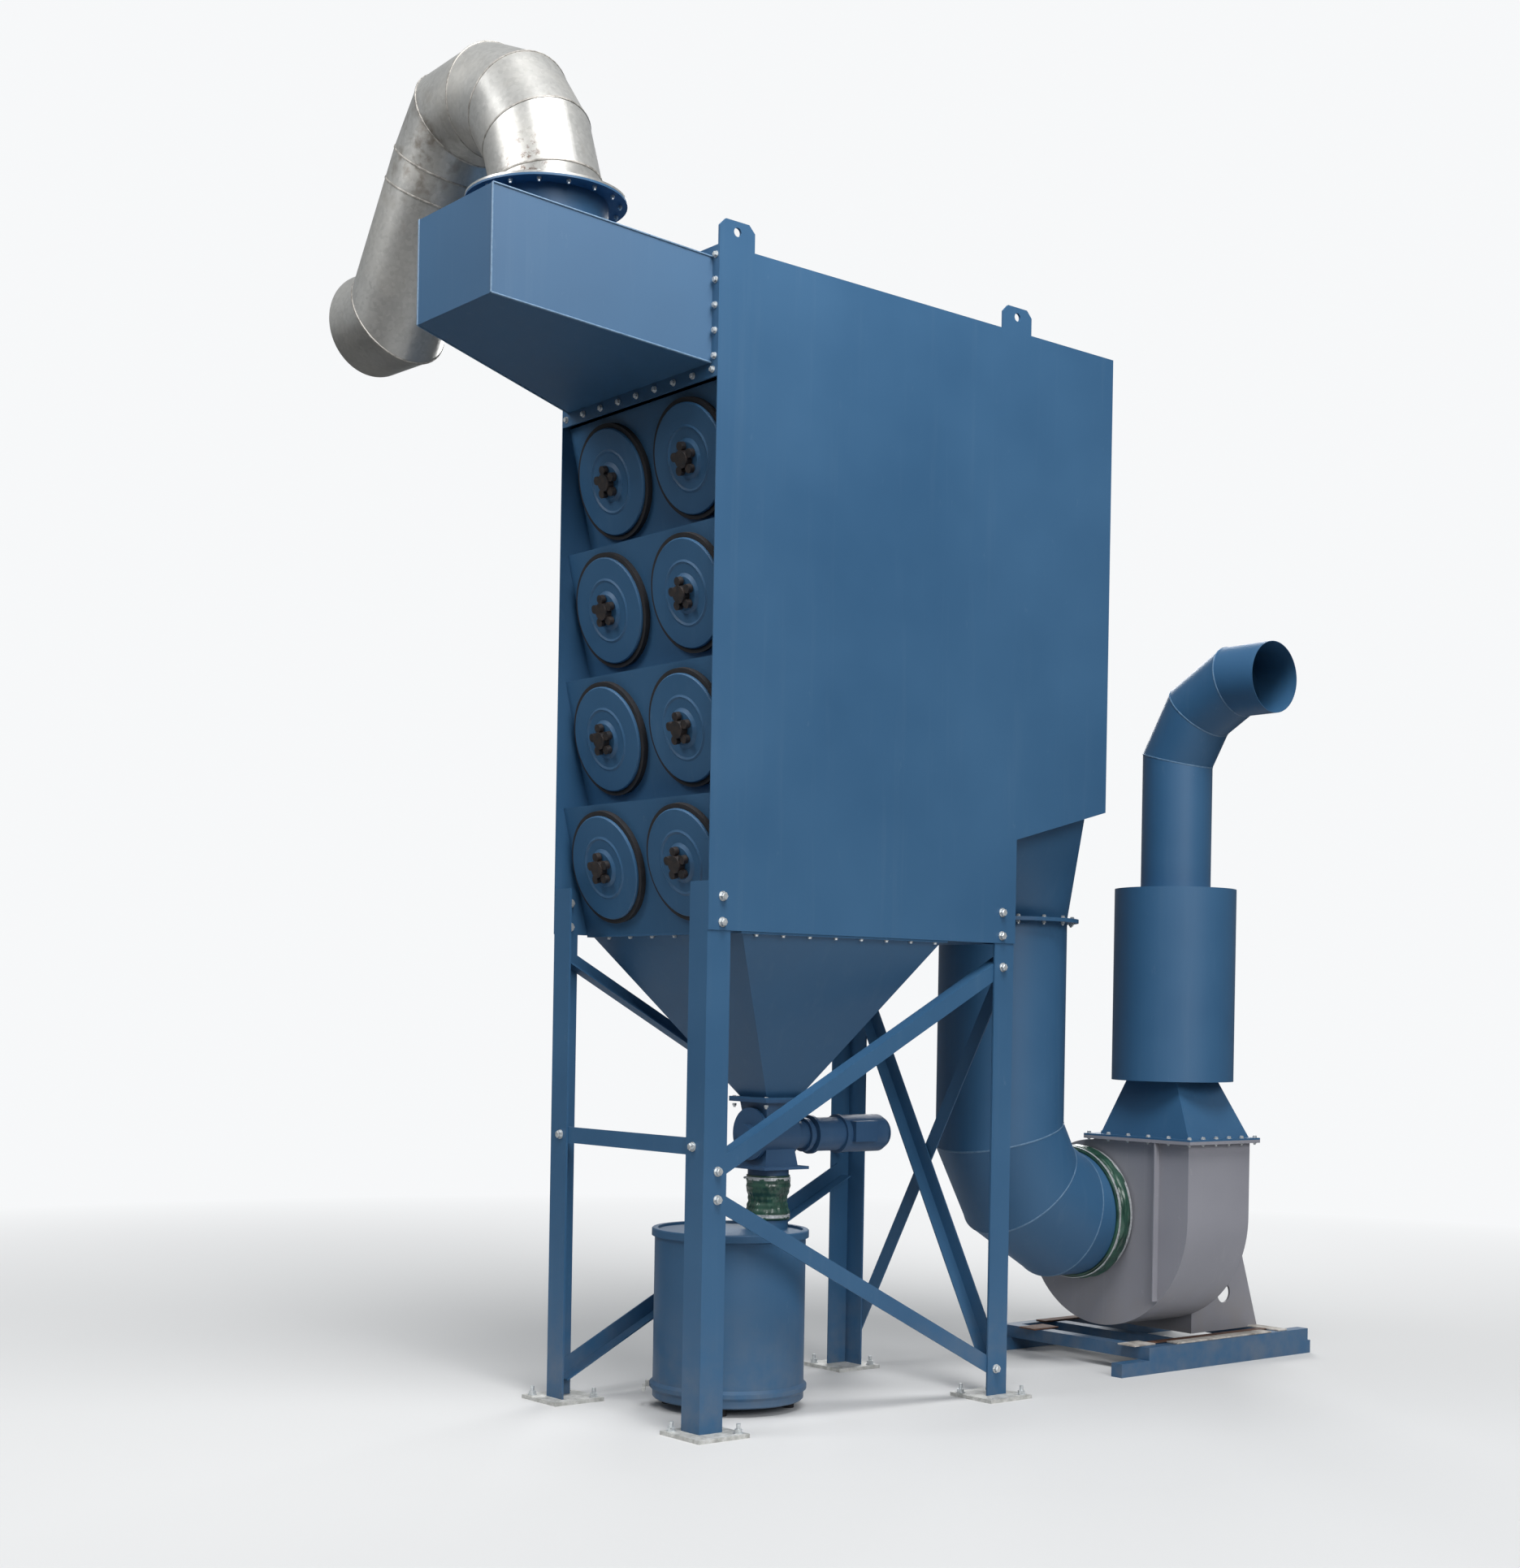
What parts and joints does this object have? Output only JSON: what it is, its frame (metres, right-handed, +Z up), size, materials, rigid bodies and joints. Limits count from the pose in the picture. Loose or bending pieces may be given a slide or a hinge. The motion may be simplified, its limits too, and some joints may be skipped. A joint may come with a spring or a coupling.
{
  "type": "cartridge dust collector with fan",
  "caption": "Tall steel dust filter cabinet on a braced frame, with hopper, dust drum, swan-neck inlet duct, fan, silencer and exhaust stack.",
  "frame": {"origin": "on the floor, at the centre of the four legs", "axes": "+Z up; -Y is the front, where the filter covers and the inlet box are; +X is the right-hand side seen from the front; the fan stands at +Y"},
  "size_m": [2.1325, 4.506, 5.2404],
  "materials": {
    "blue_paint": "satin steel-blue paint, scuffed and chalky in places",
    "galvanised": "dull galvanised sheet",
    "bare_plate": "bare zinc-grey steel",
    "gasket_rubber": "dark sponge rubber",
    "knob_plastic": "dark plastic with a rusty brown film",
    "airlock_paint": "blue-grey paint",
    "gearmotor_paint": "blue-grey paint",
    "sleeve_fabric": "dark green coated cloth",
    "fan_grey": "plain grey paint",
    "motor_grey": "grey paint"
  },
  "bodies": {
    "root": {"airlock_gearmotor": "gearmotor_paint", "airlock_valve": "airlock_paint", "base_plates": "bare_plate", "cabinet_floor": "blue_paint", "cartridge_covers": "blue_paint", "clean_air_duct": "blue_paint", "cover_gaskets": "gasket_rubber", "drum_clamp": "bare_plate", "drum_feet": "gasket_rubber", "drum_lid": "blue_paint", "dust_drum": "blue_paint", "dust_sleeve": "sleeve_fabric", "exhaust_stack": "blue_paint", "fan_connector": "sleeve_fabric", "fan_housing": "fan_grey", "fan_motor": "motor_grey", "fan_pedestal": "fan_grey", "fan_rib": "fan_grey", "fan_transition": "blue_paint", "front_bar": "blue_paint", "front_panel_1": "blue_paint", "front_panel_2": "blue_paint", "front_panel_3": "blue_paint", "front_panel_4": "blue_paint", "hopper": "blue_paint", "inlet_bend": "galvanised", "inlet_box": "blue_paint", "inlet_drop": "galvanised", "inlet_frame": "blue_paint", "inlet_neck": "blue_paint", "leg_front_left": "blue_paint", "leg_front_right": "blue_paint", "leg_rear_left": "blue_paint", "leg_rear_right": "blue_paint", "lifting_lugs": "blue_paint", "outlet_funnel": "blue_paint", "plenum_floor": "blue_paint", "rear_apron": "blue_paint", "rear_brace_inner": "blue_paint", "rear_brace_outer": "blue_paint", "rear_panel": "blue_paint", "roof_panel": "blue_paint", "side_brace_left_lower": "blue_paint", "side_brace_left_upper": "blue_paint", "side_brace_right_lower": "blue_paint", "side_brace_right_upper": "blue_paint", "side_panel_left": "blue_paint", "side_panel_right": "blue_paint", "silencer": "blue_paint", "skid_cross_bars": "blue_paint", "skid_rails": "blue_paint", "skid_runners": "blue_paint", "star_knobs": "knob_plastic"}
  },
  "joints": []
}
